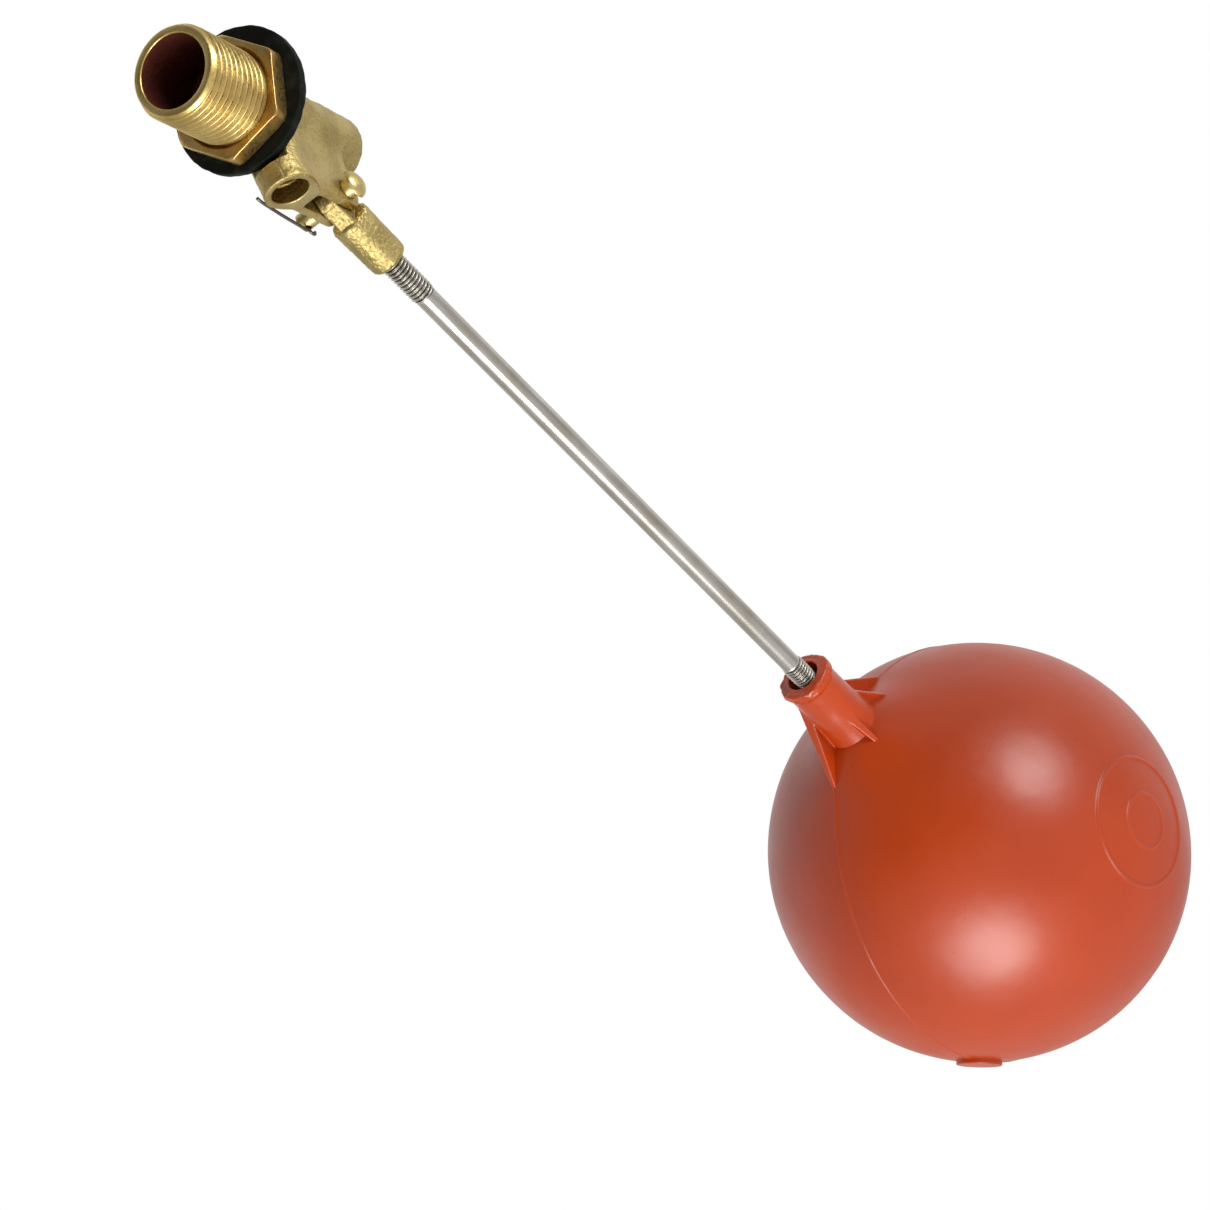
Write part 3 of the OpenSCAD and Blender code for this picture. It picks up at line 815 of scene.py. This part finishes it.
def cotter_path():
    """One wire in the XZ plane: along the long leg, up, round the eye, down and out to the short hook."""
    side = COTTER_WIRE_R + 0.03
    low = -PIN_R - COTTER_CLEAR
    eye_z = PIN_R + COTTER_CLEAR + COTTER_EYE_R
    start = -side - COTTER_BEND
    along = np.linspace(-COTTER_LEG, start, 40)[:-1]
    lift = COTTER_LIFT * np.clip((-along - COTTER_LEG + 2.0) / 2.0, 0, 1) ** 2
    sag = COTTER_SAG * np.sin(math.pi * (along - start) / (COTTER_LEG + start))
    leg = [(x, 0.0, low + up + down) for x, up, down in zip(along, lift, sag)]
    gap = math.degrees(math.asin(side / COTTER_EYE_R))
    elbow = arc(start, low + COTTER_BEND, COTTER_BEND, -90, 0)
    eye = arc(0.0, eye_z, COTTER_EYE_R, 270 - gap, 90)
    eye += arc(0.0, eye_z, COTTER_EYE_R, 90, gap - 90)[1:]
    other_elbow = arc(-start, low + COTTER_BEND, COTTER_BEND, 180, 270)
    hook = arc(-start + 0.5, low + COTTER_HOOK, COTTER_HOOK, -90, 10)
    return leg + elbow + eye + other_elbow + hook


def build_cotter():
    """Split pin, tilted about the hinge pin."""
    points, faces = sweep(cotter_path(), COTTER_WIRE_R, 14)
    c, s = math.cos(COTTER_TILT), math.sin(COTTER_TILT)
    x, y, z = points.T
    placed = np.stack([x * c + z * s, y + COTTER_Y, -x * s + z * c], axis=1)
    piece = new_piece("split_pin", placed + np.array([PIVOT[0], 0, PIVOT[2]]), faces, [SHADED_ZINC])
    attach(piece, "valve")
    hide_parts("cotter_pin")


# ---------------------------------------------------------------- rod


def rod_radius(w, angle):
    """Radius of the rod at a station and angle: threaded ends that run out into the plain middle."""
    first = 1 - ramp(w, ROD_START + LEVER_THREAD - 1.2, ROD_START + LEVER_THREAD)
    last = ramp(w, ROD_END - FLOAT_THREAD, ROD_END - FLOAT_THREAD + 1.2)
    threaded = np.maximum(first, last)
    ridge = 0.5 + 0.5 * np.cos(2 * math.pi * w / ROD_PITCH - angle)
    cut_r = ROD_THREAD_R - ROD_DEPTH * (1 - ridge)
    end = np.minimum(w - ROD_START, ROD_END - w)
    return np.minimum(ROD_R + (cut_r - ROD_R) * threaded, ROD_THREAD_R - 0.5 + end)


def build_rod():
    """Rod with sixteen rows of points to each pitch of its threads."""
    fine = ROD_PITCH / 16
    first_end, last_start = ROD_START + LEVER_THREAD, ROD_END - FLOAT_THREAD
    stations = np.concatenate([
        np.arange(ROD_START, first_end + 0.5, fine),
        np.arange(first_end + 1.5, last_start - 1, 2.5),
        np.arange(last_start - 0.5, ROD_END, fine),
        [ROD_END],
    ])
    sides = 72
    turn = np.linspace(0, 2 * math.pi, sides, endpoint=False)
    w, angle = np.meshgrid(stations, turn, indexing="ij")
    ends = [[0, 0, ROD_START], [0, 0, ROD_END]]
    points = np.concatenate([ring_grid(rod_radius(w, angle), stations), ends])
    faces = ring_quads(len(stations), sides).tolist() + end_fans(len(stations), sides)
    station = np.repeat(stations[:-1], sides)
    threaded = (station < first_end) | (station > last_start)
    inner = np.hypot(*face_middles(points, np.array(faces[:len(threaded)]))[:, :2].T)
    # Painted shade: faces in the thread roots take the dark root steel
    root = threaded & (inner < ROD_THREAD_R - 0.62 * ROD_DEPTH)
    finish = np.concatenate([threaded * 1 + root, np.ones(2 * sides)])
    steels = [STEEL, THREAD_STEEL, SHADED_ROOT_STEEL]
    piece = new_piece("threaded_rod", arm_to_part(points), faces, steels, finish)
    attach(piece, "arm")
    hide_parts("float_rod")


# ---------------------------------------------------------------- float


# Turn, reach, length and offset from the neck's axis of each rib; the long two lie in the seam plane
RIBS = (
    (SEAM_TURN, 16.5, 15.0, 4.5),
    (SEAM_TURN + math.pi, 22.5, 16.0, -4.5),
    (math.radians(-31), 11.6, 12.5, 0.0),
    (math.radians(77), 12.6, 13.0, 0.0),
    (math.radians(136), 12.6, 13.0, 0.0),
    (math.radians(235), 14.0, 12.0, 0.0),
)


def rib_solid(u, v, w, turn, reach, length, offset):
    """One thin rib from the neck down to the ball; reach and offset are from the neck's axis."""
    out = u * math.cos(turn) + v * math.sin(turn)
    side = -u * math.sin(turn) + v * math.cos(turn) - offset
    foot = BALL_W - math.sqrt(BALL_R ** 2 - reach ** 2)
    start = BALL_W - BALL_R - length
    slope = (reach - NECK_R + 1) / (foot - start)
    edge = (out - NECK_R + 1 - slope * (w - start)) / math.hypot(1, slope)
    half = RIB_HALF + 0.05 * (foot - w)
    return smooth_max(np.maximum(edge, 1.0 - out), np.abs(side) - half, 0.3)


def neck_solid(u, v, w):
    """Conical neck with its knurled collar, ribs and the mouth that the rod screws into."""
    radial = np.hypot(u, v)
    angle = np.arctan2(v, u)
    flare = np.clip((w - NECK_W) / (BALL_W - BALL_R - NECK_W), 0, 1)
    neck = drum(radial, w, NECK_R - 0.35 + 0.9 * flare ** 3, NECK_W + 0.6, BALL_W, 0.6)
    square = 0.45 * np.cos(4 * angle + 0.6) + 0.12 * np.sin(11 * angle)
    collar = drum(radial, w, NECK_R + 0.15 + 0.5 * square, NECK_W + 0.1, NECK_W + 3.0, 0.8)
    solid = smooth_min(neck, collar, 0.5)
    for turn, reach, length, offset in RIBS:
        solid = smooth_min(solid, rib_solid(u, v, w, turn, reach, length, offset), 0.7)
    lip = drum(radial, w, NECK_HOLE_R + 0.7, NECK_W - 0.05, NECK_W + 1, 0.3)
    solid = smooth_min(solid, lip, 0.2)
    solid = cut(solid, drum(radial, w, NECK_HOLE_R, NECK_W - 3, NECK_W + NECK_HOLE_L, 0.2), 0.25)
    solid = cut(solid, drum(radial, w, ROD_THREAD_R + 0.1, NECK_W - 3, ROD_END + 1, 0.1), 0.1)
    inside_ball = BALL_R - 1.5 - np.sqrt(u ** 2 + v ** 2 + (w - BALL_W) ** 2)
    return np.maximum(solid, inside_ball)


def build_neck():
    """Neck of the float, rough round its mouth."""
    reach = 17.0
    low = np.array([-NECK_R - reach, -NECK_R - reach, NECK_W - 1])
    high = np.array([NECK_R + reach, NECK_R + reach, BALL_W - BALL_R + 6])
    points, quads = surface_net(neck_solid, low, high, 0.25)
    mouth = 1 - ramp(points[:, 2], NECK_W + 1.5, NECK_W + 4.5)
    outer = ramp(np.hypot(points[:, 0], points[:, 1]), 5.5, 6.8)
    points = roughen(points, quads, ((1.4, 0.22), (0.6, 0.08)), mouth * outer)
    points = roughen(points, quads, ((5.0, 0.12),), 1 - mouth)
    piece = new_piece("moulded_neck", arm_to_part(points), quads, [NECK_PLASTIC])
    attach(piece, "arm")
    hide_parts("float_neck")


def direction(turn, tilt):
    """Unit vector in the arm frame, tilted from the arm's axis and turned about it."""
    return np.array([math.sin(tilt) * math.cos(turn), math.sin(tilt) * math.sin(turn), math.cos(tilt)])


SEAM_NORMAL = direction(SEAM_TURN + math.pi / 2, SEAM_TILT)


def ball_height(n):
    """Height of the ball's surface above its radius at unit directions n in the arm frame."""
    off_seam = n @ SEAM_NORMAL * BALL_R
    seam = 0.20 * np.exp(-(off_seam / 0.20) ** 2) + 0.05 * np.tanh(off_seam / 0.3)
    seam = seam * (1 + 0.35 * grain(n * BALL_R, 3.0, SEED + 8))
    pole = direction(EMBLEM_TURN, EMBLEM_TILT)
    away = BALL_R * np.arccos(np.clip(n @ pole, -1, 1))
    ring = 0.42 * np.exp(-((away - EMBLEM_R) / 0.38) ** 2)
    inner = 0.28 * np.exp(-((away - EMBLEM_R * INNER_RING) / 0.36) ** 2)
    waves = 0.12 * grain(n * BALL_R, 28.0, SEED + 7) - 0.12
    from_neck = BALL_R * np.arccos(np.clip(-n[:, 2], -1, 1))
    shoulder = SHOULDER_H * np.exp(-(from_neck / SHOULDER_W) ** 2)
    return seam + ring + inner + waves + shoulder


def ball_directions():
    """Unit directions and faces of a fine sphere, finer still along the seam and the emblem."""
    sphere = bmesh.new()
    bmesh.ops.create_icosphere(sphere, subdivisions=7, radius=1.0)
    pole = Vector(direction(EMBLEM_TURN, EMBLEM_TILT))
    seam = Vector(SEAM_NORMAL)
    for seam_band, ring_band in ((1.6, 1.8), (0.8, 1.0)):
        chosen = []
        for edge in sphere.edges:
            n = (edge.verts[0].co + edge.verts[1].co).normalized()
            away = BALL_R * math.acos(max(-1.0, min(1.0, n.dot(pole))))
            near_ring = min(abs(away - EMBLEM_R), abs(away - INNER_RING * EMBLEM_R)) < ring_band
            if abs(n.dot(seam)) * BALL_R < seam_band or near_ring:
                chosen.append(edge)
        bmesh.ops.subdivide_edges(sphere, edges=chosen, cuts=1, use_grid_fill=True)
    bmesh.ops.triangulate(sphere, faces=[f for f in sphere.faces if len(f.verts) > 4])
    points = np.array([v.co for v in sphere.verts])
    faces = [[v.index for v in f.verts] for f in sphere.faces]
    sphere.free()
    return points / np.linalg.norm(points, axis=1, keepdims=True), faces


def build_ball():
    """Ball with its seam, plain rings and the shoulder under the neck."""
    n, faces = ball_directions()
    points = n * (BALL_R + ball_height(n))[:, None]
    points = points + np.array([0, 0, BALL_W])
    piece = new_piece("moulded_ball", arm_to_part(points), faces, [PLASTIC])
    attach(piece, "arm")
    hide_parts("float_ball")


def plug_solid(x, y, z):
    """The raised pad, about the ball's centre with z outwards through the pad."""
    radial = np.hypot(x, y)
    return drum(radial, z, PLUG_R - 0.1, BALL_R - 1.2, BALL_R + 0.8, 0.4)


def build_plug():
    """Vent plug, turned to its place on the ball."""
    low = np.array([-PLUG_R, -PLUG_R, BALL_R - 1.4])
    high = np.array([PLUG_R, PLUG_R, BALL_R + 1])
    points, quads = surface_net(plug_solid, low, high, 0.15)
    axis = direction(PLUG_TURN, PLUG_TILT)
    across = np.cross([0.0, 0.0, 1.0], axis)
    across /= np.linalg.norm(across)
    turned = points @ np.array([across, np.cross(axis, across), axis])
    piece = new_piece("vent_plug", arm_to_part(turned + np.array([0, 0, BALL_W])), quads, [PLASTIC])
    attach(piece, "arm")
    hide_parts("float_plug")


# ---------------------------------------------------------------- pieces kept from the CAD


def dress_cad():
    """Gives the inner nodes that keep their CAD shape a material each; the seat nozzle takes the near-black
    painted shade of the bores.
    """
    for node, material in (
        ("piston", MACHINED), ("piston_cap", MACHINED), ("seat_nozzle", SHADED_BORE),
        ("seat_washer", SEAT_RUBBER), ("float_insert", MACHINED),
    ):
        for slot in frame["nodes"][node].material_slots:
            slot.material = material


# ---------------------------------------------------------------- studio (metres)

# Towards the side of the room that lies opposite the camera
STUDIO_FRONT = (0.88, 0.34, 0.33)
FLOOR_Z = -1.15
FLOOR_HALF = 15.0
# Name, direction from the arm, distance, size and power of each lamp
LAMPS = (
    ("key_light", (-0.400, -0.887, 0.231), 1.1, 0.62, 8.4),
    ("low_light", (-0.426, 0.113, -0.898), 0.85, 0.56, 6.3),
)
# The camera's own right and backward directions, its place and its lens in millimetres
CAMERA_RIGHT = (0.45645, -0.78799, -0.41318)
CAMERA_BACK = (-0.88152, -0.33753, -0.33014)
CAMERA_PLACE = (-0.40365, -0.18853, -0.30046)
CAMERA_LENS = 75.505


def area_light(name, place, target, size, power):
    """A round white lamp aimed at the target and hidden from the camera."""
    data = bpy.data.lights.new(name, "AREA")
    data.shape = "DISK"
    data.size = size
    data.energy = power
    lamp = bpy.data.objects.new(name, data)
    lamp.location = place
    lamp.rotation_euler = (Vector(target) - Vector(place)).to_track_quat("-Z", "Y").to_euler()
    lamp.visible_camera = False
    bpy.context.scene.collection.objects.link(lamp)


def build_world():
    """A white studio, dimmer on the side where the photographer stands; the backdrop itself is white."""
    world = bpy.data.worlds.new("studio")
    world.use_nodes = True
    bpy.context.scene.world = world
    tree = world.node_tree
    background = tree.nodes["Background"]
    background.inputs["Color"].default_value = (1.0, 1.0, 1.0, 1)
    place = tree.nodes.new("ShaderNodeTexCoord")
    facing = tree.nodes.new("ShaderNodeVectorMath")
    facing.operation = "DOT_PRODUCT"
    facing.inputs[1].default_value = STUDIO_FRONT
    tree.links.new(place.outputs["Generated"], facing.inputs[0])
    dim = spread(tree, facing.outputs["Value"], -0.55, 0.45, 0.08, 0.8)
    light_path = tree.nodes.new("ShaderNodeLightPath")
    strength = tree.nodes.new("ShaderNodeMix")
    tree.links.new(light_path.outputs["Is Camera Ray"], strength.inputs["Factor"])
    tree.links.new(dim, strength.inputs["A"])
    strength.inputs["B"].default_value = 1.0
    tree.links.new(strength.outputs["Result"], background.inputs["Strength"])


def build_floor():
    """Plain pale floor."""
    mesh = bpy.data.meshes.new("floor")
    corners = [(-1, -1), (1, -1), (1, 1), (-1, 1)]
    mesh.from_pydata([(FLOOR_HALF * x, FLOOR_HALF * y, FLOOR_Z) for x, y in corners], [], [(0, 1, 2, 3)])
    floor = bpy.data.objects.new("floor", mesh)
    bpy.context.scene.collection.objects.link(floor)
    pale, tree, shader = node_tree("pale_floor", (0.9, 0.9, 0.89), 0.8, 0.0)
    tree.links.new(spread(tree, noise(tree, 3, 2), 0.3, 0.7, 0.75, 0.85), shader.inputs["Roughness"])
    mesh.materials.append(pale)


def build_studio():
    """World, floor and the two lamps."""
    bpy.context.scene.view_settings.view_transform = "Standard"
    build_world()
    build_floor()
    target = Vector(PIVOT + 0.6 * (BALL - PIVOT)) * MM
    for name, way, distance, size, power in LAMPS:
        area_light(name, target + distance * Vector(way), target, size, power)


def build_camera():
    """Camera below and in front of the inlet, looking up along the arm."""
    right = Vector(CAMERA_RIGHT).normalized()
    back = Vector(CAMERA_BACK).normalized()
    up = back.cross(right).normalized()
    data = bpy.data.cameras.new("view")
    data.lens = CAMERA_LENS
    data.sensor_width = 36.0
    data.clip_start = 0.01
    data.clip_end = 20.0
    camera = bpy.data.objects.new("view", data)
    place = Vector(CAMERA_PLACE)
    camera.matrix_world = Matrix((
        (right.x, up.x, back.x, place.x), (right.y, up.y, back.y, place.y),
        (right.z, up.z, back.z, place.z), (0, 0, 0, 1),
    ))
    bpy.context.scene.collection.objects.link(camera)
    bpy.context.scene.camera = camera


build_camera()
build_studio()
build_shank()
build_casting()
build_nut()
build_washer()
build_lever()
build_pin()
build_cotter()
build_rod()
build_neck()
build_ball()
build_plug()
dress_cad()
